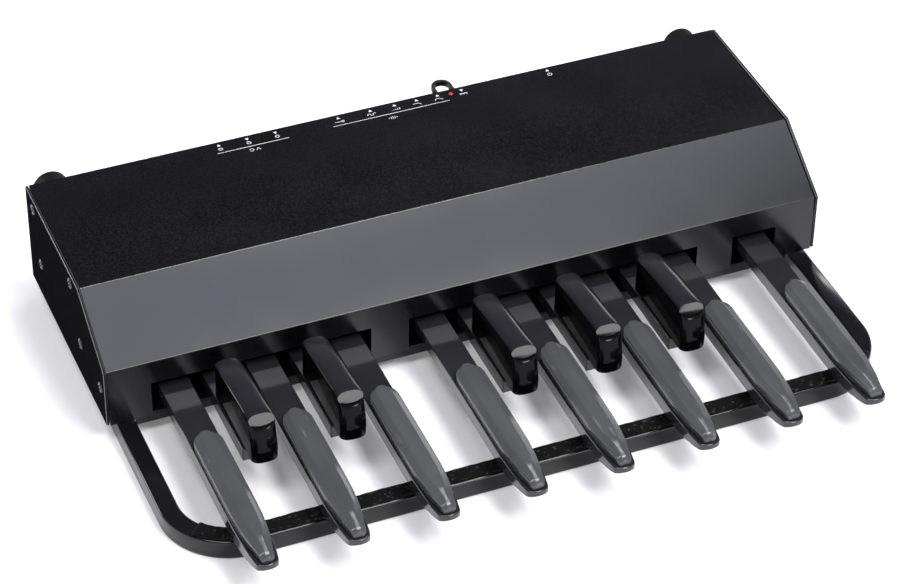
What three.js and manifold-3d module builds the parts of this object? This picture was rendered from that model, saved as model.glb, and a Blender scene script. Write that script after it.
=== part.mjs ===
import * as THREE from 'three';
import { mergeVertices } from 'three/addons/utils/BufferGeometryUtils.js';
import Module from 'manifold-3d';

const wasm = await Module();
wasm.setup();
const { Manifold, Mesh } = wasm;

// Driving dimensions, in millimetres. X runs along the keys, Y towards the rear, Z up.
// While building, Y = 0 is the front face of the housing; centreY moves the result to the middle.
const GAP = 0.3; // clearance left between pieces that touch
const SHEET = 1.5; // sheet steel of the housing
const PITCH = 63.5; // spacing of the natural pedals
const HALF_PITCH = PITCH / 2;
const HOUSING_HALF = 273; // outer face of an end plate
const PLATE = 2; // end plate thickness
const FRAME_HEIGHT = 15;
const FRAME_WIDTH = 14;
const RAIL_X = 259.3; // centre line of a side rail
const FRAME_FRONT_Y = -136; // centre line of the front bar
const FRAME_REAR_Y = 168;
const CORNER_RADIUS = 44;
const BASE_Z = FRAME_HEIGHT + GAP; // underside of the housing
const KNEE_Z = 62.4; // where the front face meets the slope
const SLOPE_DEPTH = 54.4;
const TOP_Z = 97;
const REAR_Y = 178.5;
const SLOT_TOP_Z = 44;
const ARM_HALF = 11.15;
const ARM_TOP_Z = 37.2;
const ARM_BOTTOM_Z = 26.7;
const ARM_TAIL_Y = 160;
const PIVOT_Y = 150;
const PIVOT_Z = 31.6;
const ROD_RADIUS = 3;
const RUNNING_FIT = 0.08; // radial clearance of the pivots
const NOSE_Y = -191.7;
const SHARP_FRONT_Y = -98;
const SHARP_REAR_Y = -14.5;
const CONTROL_Z = 63; // height of the rear sockets and knobs
const BUMPER_X = 250.8;
const BUMPER_Z = 79.7;
const BUMPER_RADIUS = 13;
const BUMPER_LENGTH = 18.5;
const HOOK = { x: 51.4, y: 187.6, z: 93, radius: 6.6, half: 1.2, height: 5 };

const centreY = -(NOSE_Y + REAR_Y + BUMPER_LENGTH) / 2;

const naturals = ['c', 'd', 'e', 'f', 'g', 'a', 'b', 'c_high'].map((note, i) => [note, (i - 3.5) * PITCH]);
const sharps = ['c_sharp', 'd_sharp', 'f_sharp', 'g_sharp', 'a_sharp'].map((note, i) => [
  note,
  [-6, -4, 0, 2, 4][i] * HALF_PITCH,
]);

const slots = [
  [-239.75, -77.75],
  [-49.25, 176.25],
  [204.75, 239.75],
];
const rearSockets = { midi_out: -128.8, midi_merge_in: -107, midi_sound_in: -85.2 };
const knobs = { mode: -11, volume: 7.5, cutoff: 25, release: 42.5 };
const JACK_X = -36.2;
const INLET_X = 61.8;
const BUTTON_X = 131.5;
const LAMP = { x: 52.7, y: 172.5, radius: 1.5 };
const tabs = [-256, -142.9, -63.5, 15.9, 111.1, 190.5, 256];
const plateScrews = [
  [157.9, 90.8],
  [68.5, 90.8],
  [6.6, 46],
  [146.9, 49.4],
  [52.1, 49.4],
];

const finish = {
  satinBlack: [0x17181b, 0.5, 0.3],
  glossBlack: [0x0b0b0d, 0.2, 0.2],
  rubberGrey: [0x35363a, 0.65, 0],
  feltBlack: [0x17171b, 0.95, 0],
  rubberBlack: [0x141416, 0.8, 0],
  plasticBlack: [0x121214, 0.45, 0],
  steel: [0xb4b6b8, 0.3, 0.9],
  boardGreen: [0x1d4f30, 0.5, 0],
  lampRed: [0xc01818, 0.2, 0],
};

// ---- solids ----

function signedVolume(position, index) {
  const a = new THREE.Vector3();
  const b = new THREE.Vector3();
  const c = new THREE.Vector3();
  let sum = 0;
  for (let i = 0; i < index.length; i += 3) {
    a.fromArray(position, index[i] * 3);
    b.fromArray(position, index[i + 1] * 3);
    c.fromArray(position, index[i + 2] * 3);
    sum += a.dot(b.cross(c));
  }
  return sum;
}

function solid(geometry) {
  const bare = new THREE.BufferGeometry();
  bare.setAttribute('position', geometry.getAttribute('position'));
  bare.setIndex(geometry.getIndex());
  const merged = mergeVertices(bare, 1e-4);
  const position = Float32Array.from(merged.getAttribute('position').array);
  const source = merged.getIndex().array;
  const kept = [];
  for (let i = 0; i < source.length; i += 3) {
    const [a, b, c] = [source[i], source[i + 1], source[i + 2]];
    if (a !== b && b !== c && c !== a) kept.push(a, b, c);
  }
  if (signedVolume(position, kept) < 0) {
    for (let i = 0; i < kept.length; i += 3) [kept[i + 1], kept[i + 2]] = [kept[i + 2], kept[i + 1]];
  }
  return new Manifold(new Mesh({ numProp: 3, vertProperties: position, triVerts: Uint32Array.from(kept) }));
}

// Extrudes a polygon; basis holds the directions of its first and second coordinate and of the sweep.
function prism(points, basis, from, to) {
  const shape = new THREE.Shape(points.map(([u, v]) => new THREE.Vector2(u, v)));
  const geometry = new THREE.ExtrudeGeometry(shape, { depth: to - from, bevelEnabled: false });
  geometry.translate(0, 0, from);
  geometry.applyMatrix4(new THREE.Matrix4().makeBasis(...basis));
  return solid(geometry);
}

const X = new THREE.Vector3(1, 0, 0);
const Y = new THREE.Vector3(0, 1, 0);
const Z = new THREE.Vector3(0, 0, 1);

const alongX = (yz, from, to) => prism(yz, [Y, Z, X], from, to);
const alongY = (xz, from, to) => prism(xz, [X, Z, Y], from, to);
const alongZ = (xy, from, to) => prism(xy, [X, Y, Z], from, to);

const rectangle = (u0, u1, v0, v1) => [
  [u0, v0],
  [u1, v0],
  [u1, v1],
  [u0, v1],
];

const box = (x0, x1, y0, y1, z0, z1) => alongZ(rectangle(x0, x1, y0, y1), z0, z1);

// A turned body: profile holds [radius, height] pairs and starts and ends on the axis.
function turned(profile, axis, x, y, z, segments = 24) {
  const geometry = new THREE.LatheGeometry(
    profile.map(([r, h]) => new THREE.Vector2(r, h)),
    segments,
  );
  if (axis === 'x') geometry.rotateZ(-Math.PI / 2);
  if (axis === 'z') geometry.rotateX(Math.PI / 2);
  geometry.translate(x, y, z);
  return solid(geometry);
}

function round(axis, radius, length, x, y, z, segments = 24) {
  const profile = [
    [0, 0],
    [radius, 0],
    [radius, length],
    [0, length],
  ];
  return turned(profile, axis, x, y, z, segments);
}

// Joins rings of equal length into one closed skin with flat ends.
function skin(rings) {
  const count = rings[0].length;
  const position = rings.flat(2);
  const index = [];
  for (let i = 0; i + 1 < rings.length; i += 1) {
    for (let j = 0; j < count; j += 1) {
      const a = i * count + j;
      const b = i * count + ((j + 1) % count);
      index.push(a, b, b + count, a, b + count, a + count);
    }
  }
  const last = (rings.length - 1) * count;
  for (let j = 1; j + 1 < count; j += 1) {
    index.push(0, j + 1, j);
    index.push(last, last + j, last + j + 1);
  }
  const geometry = new THREE.BufferGeometry();
  geometry.setAttribute('position', new THREE.Float32BufferAttribute(position, 3));
  geometry.setIndex(index);
  return solid(geometry);
}

// Sweeps a section of [outward, height] pairs along a level path of {x, y, nx, ny} points.
const sweep = (path, section) =>
  skin(path.map(({ x, y, nx, ny }) => section.map(([out, up]) => [x + nx * out, y + ny * out, up])));

// Points on an arc from one angle to another, in degrees.
function arc(x, y, radius, from, to, steps) {
  return Array.from({ length: steps + 1 }, (_, i) => {
    const angle = THREE.MathUtils.degToRad(from + ((to - from) * i) / steps);
    return { x: x + radius * Math.cos(angle), y: y + radius * Math.sin(angle), nx: Math.cos(angle), ny: Math.sin(angle) };
  });
}

// ---- frame ----

function cornerPath(from, to, steps) {
  const x = RAIL_X - CORNER_RADIUS;
  const y = FRAME_FRONT_Y + CORNER_RADIUS;
  return {
    left: arc(-x, y, CORNER_RADIUS, 180 + from, 180 + to, steps),
    right: arc(x, y, CORNER_RADIUS, 360 - to, 360 - from, steps),
  };
}

function baseFrame() {
  const { left, right } = cornerPath(0, 90, 8);
  const start = { x: -RAIL_X, y: FRAME_REAR_Y, nx: -1, ny: 0 };
  const end = { x: RAIL_X, y: FRAME_REAR_Y, nx: 1, ny: 0 };
  const w = FRAME_WIDTH / 2;
  const c = 2;
  const section = [
    [-w, c],
    [c - w, 0],
    [w - c, 0],
    [w, c],
    [w, FRAME_HEIGHT - c],
    [w - c, FRAME_HEIGHT],
    [c - w, FRAME_HEIGHT],
    [-w, FRAME_HEIGHT - c],
  ];
  return sweep([start, ...left, ...right, end], section);
}

function frontFelt() {
  const { left, right } = cornerPath(40, 90, 6);
  const w = FRAME_WIDTH / 2 - 1.2;
  return sweep([...left, ...right], rectangle(-w, w, FRAME_HEIGHT + GAP, FRAME_HEIGHT + 3));
}

// ---- housing ----

function topCover() {
  const outer = [
    [0, BASE_Z],
    [0, KNEE_Z],
    [SLOPE_DEPTH, TOP_Z],
    [REAR_Y, TOP_Z],
  ];
  const inner = [
    [REAR_Y, TOP_Z - SHEET],
    [SLOPE_DEPTH + 0.45, TOP_Z - SHEET],
    [SHEET, KNEE_Z - 0.82],
    [SHEET, BASE_Z],
  ];
  const half = HOUSING_HALF - PLATE - 2 * GAP;
  let cover = alongX([...outer, ...inner], -half, half);
  for (const [x0, x1] of slots) cover = cover.subtract(box(x0, x1, -1, SHEET + 1, 0, SLOT_TOP_Z));
  return cover.subtract(round('z', LAMP.radius + GAP, 10, LAMP.x, LAMP.y, TOP_Z - 5));
}

function endPlate(side) {
  const lift = 0.8;
  const profile = [
    [-lift, BASE_Z + 2],
    [-lift, KNEE_Z + 0.5],
    [SLOPE_DEPTH - 0.5, TOP_Z + lift],
    [REAR_Y - 2, TOP_Z + lift],
    [REAR_Y + lift, TOP_Z - 2],
    [REAR_Y + lift, BASE_Z + 2],
    [REAR_Y - 2, BASE_Z],
    [2, BASE_Z],
  ];
  const inside = side * (HOUSING_HALF - PLATE);
  const outside = side * HOUSING_HALF;
  let plate = alongX(profile, Math.min(inside, outside), Math.max(inside, outside));
  const head = [
    [0, -side * 0.5],
    [4, -side * 0.5],
    [4, side * 0.6],
    [2.8, side * 1.5],
    [0, side * 1.8],
  ];
  for (const [y, z] of plateScrews) plate = plate.add(turned(head, 'x', outside, y, z, 12));
  return plate;
}

function bottomPan() {
  const half = HOUSING_HALF - PLATE - 2 * GAP;
  const front = SHEET + GAP;
  const lipHalf = RAIL_X - FRAME_WIDTH / 2 - 1;
  const floor = box(-half, half, front, REAR_Y - 3, BASE_Z, BASE_Z + SHEET);
  return floor.add(box(-lipHalf, lipHalf, front, front + SHEET, BASE_Z - 7, BASE_Z + SHEET));
}

function rearPanel() {
  const half = HOUSING_HALF - PLATE - 2 * GAP;
  const y0 = REAR_Y - SHEET - 0.5;
  let panel = box(-half, half, y0, y0 + SHEET, BASE_Z + SHEET + GAP, TOP_Z - SHEET - GAP);
  const hole = (radius, x, z) => {
    panel = panel.subtract(round('y', radius, 6, x, y0 - 2, z));
  };
  for (const x of Object.values(rearSockets)) hole(7.8, x, CONTROL_Z);
  hole(5.3, JACK_X, CONTROL_Z);
  for (const x of Object.values(knobs)) hole(3.4, x, CONTROL_Z);
  hole(4.5, INLET_X, CONTROL_Z);
  hole(5.5, BUTTON_X, CONTROL_Z);
  return panel;
}

function bumper(side) {
  const profile = [
    [0, GAP - 0.5],
    [6, GAP - 0.5],
    [6, GAP],
    [BUMPER_RADIUS, GAP],
    [BUMPER_RADIUS, BUMPER_LENGTH - 3],
    [BUMPER_RADIUS - 1.2, BUMPER_LENGTH - 0.8],
    [BUMPER_RADIUS - 3.5, BUMPER_LENGTH],
    [0, BUMPER_LENGTH],
  ];
  return turned(profile, 'y', side * BUMPER_X, REAR_Y, BUMPER_Z);
}

function cordHook() {
  const { x, y, z, radius, half, height } = HOOK;
  const root = REAR_Y - 0.5 + GAP;
  const bend = arc(x, y, radius, 0, 180, 10);
  const start = { x: x + radius, y: root, nx: 1, ny: 0 };
  const end = { x: x - radius, y: root + 3, nx: -1, ny: 0 };
  const strip = sweep([start, ...bend, end], rectangle(-half, half, z - height / 2, z + height / 2));
  const foot = box(x + radius - 5, x + radius + half, root, y, z - height / 2, z + height / 2);
  return strip.add(foot);
}

function lamp() {
  const profile = [
    [0, -4],
    [LAMP.radius, -4],
    [LAMP.radius, 0],
    [LAMP.radius * 0.7, 0.5],
    [0, 0.7],
  ];
  return turned(profile, 'z', LAMP.x, LAMP.y, TOP_Z, 16);
}

// ---- rear controls ----

function dinSocket(x) {
  const half = 9.5;
  const body = box(x - half, x + half, 158, REAR_Y - 2.6, CONTROL_Z - half, CONTROL_Z + half);
  let socket = body.add(round('y', 7.5, 16, x, 163, CONTROL_Z));
  for (const angle of [0, 45, 90, 135, 180]) {
    const a = THREE.MathUtils.degToRad(angle);
    const pin = round('y', 0.8, 8, x + 4.9 * Math.cos(a), 173, CONTROL_Z - 4.9 * Math.sin(a), 8);
    socket = socket.subtract(pin);
  }
  return socket;
}

function lineJack() {
  const x = JACK_X;
  const body = box(x - 8, x + 8, 146, REAR_Y - 2.6, CONTROL_Z - 9, CONTROL_Z + 9);
  const barrel = round('y', 5, 20, x, 162, CONTROL_Z);
  const bore = round('y', 3.3, 34, x, 149, CONTROL_Z);
  return body.add(barrel).subtract(bore);
}

function dcInlet() {
  const x = INLET_X;
  const body = box(x - 5.5, x + 5.5, 164, REAR_Y - 2.6, CONTROL_Z - 9, CONTROL_Z + 5.5);
  const barrel = round('y', 4.2, 11, x, 168, CONTROL_Z);
  const bore = round('y', 2.9, 9, x, 171, CONTROL_Z);
  const pin = round('y', 1, 8, x, 170.5, CONTROL_Z, 12);
  return body.add(barrel).subtract(bore).add(pin);
}

function knob(x) {
  const profile = [
    [0, -9],
    [3, -9],
    [3, 0.6],
    [6.5, 0.6],
    [6.2, 9],
    [5.4, 10],
    [0, 10],
  ];
  const body = turned(profile, 'y', x, REAR_Y, CONTROL_Z);
  return body.subtract(box(x - 0.4, x + 0.4, REAR_Y + 9.2, REAR_Y + 11, CONTROL_Z, CONTROL_Z + 8));
}

function powerButton() {
  const profile = [
    [0, -12],
    [5, -12],
    [5, 4],
    [4.4, 4.8],
    [0, 4.8],
  ];
  return turned(profile, 'y', BUTTON_X, REAR_Y, CONTROL_Z);
}

// ---- inside the housing ----

function mainBoard() {
  const z = CONTROL_Z - 11.5;
  let board = box(-160, 150, 112, REAR_Y - 4, z, z + 1.6);
  for (const x of Object.values(knobs)) board = board.add(box(x - 5.5, x + 5.5, 160, 168.5, z, CONTROL_Z + 5));
  board = board.add(box(BUTTON_X - 7, BUTTON_X + 7, 150, 162.5, z, CONTROL_Z + 6));
  board = board.add(box(-70, -48, 122, 144, z, z + 4));
  return board.add(box(0, 30, 120, 130, z, z + 4));
}

function sensorBoard() {
  let board = box(-256, 256, 46, 70, ARM_TOP_Z + 0.8, ARM_TOP_Z + 2.3);
  for (const x of [-248, 248]) board = board.subtract(round('z', 1.6, 8, x, 58, ARM_TOP_Z - 2, 16));
  return board;
}

function stopRail() {
  const half = HOUSING_HALF - PLATE - 2 * GAP;
  const z = ARM_TOP_Z + 2.6;
  return box(-half, half, 14, 76, z, z + SHEET).add(box(-half, half, 76 - SHEET, 76, z, z + 15));
}

const stopFelt = () => box(-256, 256, 16, 30, ARM_TOP_Z + GAP, ARM_TOP_Z + 2.3);

function lowerFelt() {
  const z = BASE_Z + SHEET + GAP;
  return box(-256, 256, 20, 36, z, z + 5.2);
}

function pivotRail() {
  const z = BASE_Z + SHEET + GAP;
  let rail = box(-262, 262, 139, 161, z, z + SHEET);
  for (const x of tabs) rail = rail.add(box(x - 1, x + 1, 143, 157, z, PIVOT_Z + 8));
  return rail.subtract(round('x', ROD_RADIUS + RUNNING_FIT, 560, -280, PIVOT_Y, PIVOT_Z, 32));
}

const pivotRod = () => round('x', ROD_RADIUS, 524, -262, PIVOT_Y, PIVOT_Z, 32);

// ---- pedals ----

// Half width of a natural pedal, at distances behind its nose.
const footPlan = [
  [0, 0],
  [3.5, 0.6],
  [6.2, 2.1],
  [7.9, 4.8],
  [9.6, 16.5],
  [10.5, 28],
  [ARM_HALF, 41],
];
const capPlan = [
  [0, 2.7],
  [3.2, 3],
  [4.9, 3.9],
  [8.1, 22],
  [9.7, 37],
  [10.2, 53],
];

// Mirrors a half outline of [half width, distance] pairs that starts on the centre line.
function mirrored(half, x, y) {
  const right = half.slice(half[0][0] === 0 ? 1 : 0);
  const left = right.map(([w, d]) => [-w, d]).reverse();
  const start = half[0][0] === 0 ? [half[0]] : [];
  return [...left, ...start, ...right].map(([w, d]) => [x + w, y + d]);
}

// A long block with a crowned top: stations hold [y, height of the shoulder, height of the crown].
function loaf(x, half, flat, bottom, stations) {
  const ring = ([y, shoulder, crown]) => [
    [x - half, y, bottom],
    [x + half, y, bottom],
    [x + half, y, shoulder],
    [x + half * flat, y, crown],
    [x - half * flat, y, crown],
    [x - half, y, shoulder],
  ];
  return skin(stations.map(ring));
}

function armBody(x, outline, frontY) {
  const w = ARM_HALF - SHEET;
  const hollow = box(x - w, x + w, frontY, ARM_TAIL_Y + 2, ARM_BOTTOM_Z - 5, ARM_TOP_Z - SHEET);
  const bore = round('x', ROD_RADIUS + RUNNING_FIT, 40, x - 20, PIVOT_Y, PIVOT_Z, 32);
  return outline.subtract(hollow).subtract(bore);
}

function naturalArm(x) {
  const tail = ARM_TAIL_Y - NOSE_Y;
  const side = [
    [NOSE_Y - 1, 32.8],
    [NOSE_Y + 6, 31],
    [NOSE_Y + 18, 29],
    [NOSE_Y + 60, ARM_BOTTOM_Z],
    [ARM_TAIL_Y + 1, ARM_BOTTOM_Z],
    [ARM_TAIL_Y + 1, ARM_TOP_Z],
    [NOSE_Y - 1, ARM_TOP_Z],
  ];
  const outline = alongZ(mirrored([...footPlan, [ARM_HALF, tail]], x, NOSE_Y), 20, 50);
  return armBody(x, outline.intersect(alongX(side, x - 20, x + 20)), NOSE_Y + 62);
}

function naturalCap(x) {
  const rear = [
    [9.6, 125.2],
    [7.4, 128.2],
    [4, 130.2],
    [0, 130.8],
  ];
  const left = [...capPlan.slice(1), ...rear.slice(0, 3)].map(([w, d]) => [-w, d]).reverse();
  const plan = [...left, ...capPlan, ...rear].map(([w, d]) => [x + w, NOSE_Y + d]);
  const crown = loaf(x, 11, 0.5, ARM_TOP_Z + GAP, [
    [NOSE_Y - 1, 42.6, 42.8],
    [NOSE_Y + 4, 43.8, 44.4],
    [NOSE_Y + 16, 44, 45.4],
    [NOSE_Y + 36, 44, 45.4],
    [-50, 44, 45.4],
  ]);
  return alongZ(plan, 30, 50).intersect(crown);
}

function sharpArm(x) {
  return armBody(x, box(x - ARM_HALF, x + ARM_HALF, -80, ARM_TAIL_Y, ARM_BOTTOM_Z, ARM_TOP_Z), -78);
}

function sharpCap(x) {
  const half = 9.6;
  const depth = 7;
  const front = Array.from({ length: 9 }, (_, i) => {
    const angle = Math.PI * (i / 8 - 1);
    return [half * Math.cos(angle), SHARP_FRONT_Y + depth * (1 + Math.sin(angle))];
  });
  const rear = [
    [half, SHARP_REAR_Y - 7],
    [half - 1.8, SHARP_REAR_Y - 2.6],
    [half - 5, SHARP_REAR_Y - 0.4],
    [5 - half, SHARP_REAR_Y - 0.4],
    [1.8 - half, SHARP_REAR_Y - 2.6],
    [-half, SHARP_REAR_Y - 7],
  ];
  const plan = [...front, ...rear].map(([w, y]) => [x + w, y]);
  const lean = [
    [SHARP_FRONT_Y, ARM_TOP_Z],
    [SHARP_REAR_Y, ARM_TOP_Z],
    [SHARP_REAR_Y, 80],
    [SHARP_FRONT_Y + 12, 80],
    [SHARP_FRONT_Y + 12, 71],
    [SHARP_FRONT_Y + 8.6, 69.4],
    [SHARP_FRONT_Y + 5.6, 64.5],
  ];
  const crown = loaf(x, 9.7, 0.5, ARM_TOP_Z + GAP, [
    [SHARP_FRONT_Y - 1, 68.4, 70.4],
    [-84, 68.9, 70.9],
    [-72, 68.6, 70.5],
    [-59, 67.4, 69.3],
    [-46, 66, 67.9],
    [-32, 64, 66],
    [-22, 62, 64],
    [-17, 60, 62.2],
    [-13, 57, 59.6],
  ]);
  return alongZ(plan, 30, 80)
    .intersect(alongX(lean, x - 20, x + 20))
    .intersect(crown);
}

// ---- assembly ----

function node(name, body, look) {
  const { vertProperties, triVerts, numProp } = body.getMesh();
  const position = new Float32Array((vertProperties.length / numProp) * 3);
  for (let i = 0; i < position.length / 3; i += 1) {
    for (let k = 0; k < 3; k += 1) position[i * 3 + k] = vertProperties[i * numProp + k];
  }
  const indexed = new THREE.BufferGeometry();
  indexed.setAttribute('position', new THREE.BufferAttribute(position, 3));
  indexed.setIndex(new THREE.BufferAttribute(Uint32Array.from(triVerts), 1));
  indexed.translate(0, centreY, 0);
  indexed.computeVertexNormals();
  const [color, roughness, metalness] = finish[look];
  const mesh = new THREE.Mesh(indexed, new THREE.MeshStandardMaterial({ color, roughness, metalness }));
  mesh.name = name;
  return mesh;
}

const object = new THREE.Group();
object.name = 'bass_pedalboard';
const put = (name, body, look) => object.add(node(name, body, look));

put('base_frame', baseFrame(), 'glossBlack');
put('front_felt', frontFelt(), 'feltBlack');
put('top_cover', topCover(), 'satinBlack');
put('left_end_plate', endPlate(-1), 'satinBlack');
put('right_end_plate', endPlate(1), 'satinBlack');
put('bottom_pan', bottomPan(), 'satinBlack');
put('rear_panel', rearPanel(), 'satinBlack');
put('left_bumper', bumper(-1), 'rubberBlack');
put('right_bumper', bumper(1), 'rubberBlack');
put('cord_hook', cordHook(), 'plasticBlack');
put('power_lamp', lamp(), 'lampRed');
for (const [name, x] of Object.entries(rearSockets)) put(`${name}_socket`, dinSocket(x), 'plasticBlack');
put('line_out_jack', lineJack(), 'plasticBlack');
put('dc_inlet', dcInlet(), 'plasticBlack');
for (const [name, x] of Object.entries(knobs)) put(`${name}_knob`, knob(x), 'plasticBlack');
put('power_button', powerButton(), 'plasticBlack');
put('main_board', mainBoard(), 'boardGreen');
put('sensor_board', sensorBoard(), 'boardGreen');
put('stop_rail', stopRail(), 'steel');
put('stop_felt', stopFelt(), 'feltBlack');
put('lower_felt', lowerFelt(), 'feltBlack');
put('pivot_rail', pivotRail(), 'steel');
put('pivot_rod', pivotRod(), 'steel');
for (const [note, x] of naturals) {
  put(`${note}_arm`, naturalArm(x), 'glossBlack');
  put(`${note}_cap`, naturalCap(x), 'rubberGrey');
}
for (const [note, x] of sharps) {
  put(`${note}_arm`, sharpArm(x), 'glossBlack');
  put(`${note}_cap`, sharpCap(x), 'glossBlack');
}

export default object;
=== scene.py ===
import math

import bmesh
import bpy
import numpy as np
from mathutils import Matrix, Vector


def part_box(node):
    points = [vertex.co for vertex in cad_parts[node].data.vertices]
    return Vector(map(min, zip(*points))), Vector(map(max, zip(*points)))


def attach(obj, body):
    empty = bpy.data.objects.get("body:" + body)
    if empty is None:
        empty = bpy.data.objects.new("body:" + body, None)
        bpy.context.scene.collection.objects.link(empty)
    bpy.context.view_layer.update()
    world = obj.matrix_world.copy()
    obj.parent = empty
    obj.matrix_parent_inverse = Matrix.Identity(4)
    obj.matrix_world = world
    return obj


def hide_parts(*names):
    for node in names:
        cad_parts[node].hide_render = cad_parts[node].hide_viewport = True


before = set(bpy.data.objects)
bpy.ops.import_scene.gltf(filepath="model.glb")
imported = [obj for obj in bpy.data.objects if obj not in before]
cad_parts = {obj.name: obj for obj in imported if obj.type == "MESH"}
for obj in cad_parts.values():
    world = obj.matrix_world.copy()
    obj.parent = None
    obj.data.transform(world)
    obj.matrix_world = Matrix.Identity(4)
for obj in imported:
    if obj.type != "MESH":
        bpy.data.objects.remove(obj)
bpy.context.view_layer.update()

# Dimensions are millimetres. Y = 0 is the front face of the housing and Z = 0 the floor.
MM = 0.001
GAP = 0.3  # between pieces that touch or lie on each other
SHEET = 1.5  # thickness of the cover and the pan
PITCH = 63.5  # from one natural to the next

# base frame
FRAME_HEIGHT = 15
FRAME_WIDTH = 14
RAIL_X = 259.3
FRAME_FRONT_Y = -136
FRAME_REAR_Y = 168
CORNER_RADIUS = 44
FELT_THICKNESS = 2.9

# housing
HOUSING_HALF = 273
PLATE = 2  # thickness of an end plate
PLATE_LIFT = 0.8  # how far an end plate stands out round the cover
COVER_HALF = HOUSING_HALF - PLATE - 2 * GAP
BASE_Z = 15.3
KNEE_Z = 62.4
SLOPE_DEPTH = 54.4
TOP_Z = 97
REAR_Y = 178.5
SLOT_TOP_Z = 44
SLOTS = [(-239.75, -77.75), (-49.25, 176.25), (204.75, 239.75)]
PLATE_SCREWS = [(157.9, 90.8), (68.5, 90.8), (6.6, 46), (146.9, 49.4), (52.1, 49.4)]  # (y, z)
BUMPER_X, BUMPER_Z = 250.8, 79.7
HOOK_X, HOOK_Y, HOOK_Z, HOOK_RADIUS = 51.4, 187.6, 93, 6.6
LAMP_X, LAMP_Y = 52.7, 172.5

# pedals
PIVOT_Y = 150
ARM_HALF = 11.15
ARM_TOP_Z = 37.2
ARM_BOTTOM_Z = 26.7
ARM_TAIL_Y = 160
CAP_BOTTOM_Z = ARM_TOP_Z + GAP
NOSE_Y = -191.7
SHARP_FRONT_Y = -98
SHARP_REAR_Y = -15
SHARP_HALF = 9.6
NATURALS = {name: (i - 3.5) * PITCH for i, name in enumerate(["c", "d", "e", "f", "g", "a", "b", "c_high"])}
SHARPS = {"c_sharp": -190.5, "d_sharp": -127, "f_sharp": 0, "g_sharp": 63.5, "a_sharp": 127}

# rear connectors and controls: their height, and their places along X
CONTROL_Z = 63
SOCKETS = {"midi_out": -128.8, "midi_merge_in": -107, "midi_sound_in": -85.2}
JACK_X = -36.2
KNOBS = {"mode": -11, "volume": 7.5, "cutoff": 25, "release": 42.5}
INLET_X = 61.8
BUTTON_X = 131.5

# studio
STUDIO_RADIUS = 4  # metres from the object to each light
CAMERA_PLACE = (-0.6876, -1.5929, 1.4599)  # metres
CAMERA_AZIMUTH, CAMERA_ELEVATION, CAMERA_ROLL = 22.99, 39.04, 0.97  # degrees
CAMERA_LENS = 126.2
CAMERA_SHIFT = (-0.0077, -0.0019)

# The row frame is centred on the object; the pivot rod shows how far that moved the CAD along Y.
rod_low, rod_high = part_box("pivot_rod")
SHIFT_Y = (rod_low.y + rod_high.y) / 2 - PIVOT_Y * MM


def place(point):
    """From build millimetres to the row frame's metres."""
    return (point[0] * MM, point[1] * MM + SHIFT_Y, point[2] * MM)


# ---- material nodes ----


def new_material(name):
    mat = bpy.data.materials.new(name)
    mat.use_nodes = True
    return mat, mat.node_tree, mat.node_tree.nodes["Principled BSDF"]


def link(tree, source, target):
    tree.links.new(source, target)


def noise(tree, scale, detail=4, stretch=(1, 1, 1), offset=0):
    """A noise in the object's own metres; stretch multiplies its scale along each axis."""
    where = tree.nodes.new("ShaderNodeTexCoord")
    mapping = tree.nodes.new("ShaderNodeMapping")
    mapping.inputs["Scale"].default_value = stretch
    mapping.inputs["Location"].default_value = (offset, offset, offset)
    node = tree.nodes.new("ShaderNodeTexNoise")
    node.inputs["Scale"].default_value = scale
    node.inputs["Detail"].default_value = detail
    link(tree, where.outputs["Object"], mapping.inputs["Vector"])
    link(tree, mapping.outputs["Vector"], node.inputs["Vector"])
    return node.outputs["Fac"]


def ramp(tree, value, stops):
    """Turns a value into a colour through (position, colour) stops."""
    node = tree.nodes.new("ShaderNodeValToRGB")
    elements = node.color_ramp.elements
    while len(elements) < len(stops):
        elements.new(0.5)
    for element, (position, colour) in zip(elements, stops):
        element.position = position
        element.color = (*colour, 1)
    link(tree, value, node.inputs["Fac"])
    return node.outputs["Color"]


def spread(tree, value, low, high):
    """Stretches the middle of a noise to a range from low to high."""
    node = tree.nodes.new("ShaderNodeMapRange")
    node.inputs["From Min"].default_value = 0.3
    node.inputs["From Max"].default_value = 0.7
    node.inputs["To Min"].default_value = low
    node.inputs["To Max"].default_value = high
    link(tree, value, node.inputs["Value"])
    return node.outputs["Result"]


def mix(tree, factor, first, second):
    """A colour between the first, where the factor is 0, and the second, where it is 1."""
    node = tree.nodes.new("ShaderNodeMix")
    node.data_type = "RGBA"
    link(tree, factor, node.inputs["Factor"])
    link(tree, first, node.inputs["A"])
    link(tree, second, node.inputs["B"])
    return node.outputs["Result"]


def bump(tree, shader, height, strength, distance):
    """Relief for the shader's normal; the distance is in millimetres."""
    node = tree.nodes.new("ShaderNodeBump")
    node.inputs["Strength"].default_value = strength
    node.inputs["Distance"].default_value = distance * MM
    link(tree, height, node.inputs["Height"])
    link(tree, node.outputs["Normal"], shader.inputs["Normal"])


def grey(value, blue=1.0):
    """A grey whose blue can be stronger."""
    return (value, value, value * blue)


def textured_paint(name, dark, light, rough, specular):
    """Powder coat: fine grain in colour, gloss and height."""
    mat, tree, shader = new_material(name)
    grain = noise(tree, 900, 5)
    cloud = noise(tree, 18, 3)
    link(tree, ramp(tree, grain, [(0.45, dark), (0.68, light)]), shader.inputs["Base Color"])
    link(tree, spread(tree, cloud, rough - 0.03, rough + 0.03), shader.inputs["Roughness"])
    shader.inputs["Specular IOR Level"].default_value = specular
    bump(tree, shader, grain, 0.18, 0.05)
    return mat


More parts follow.
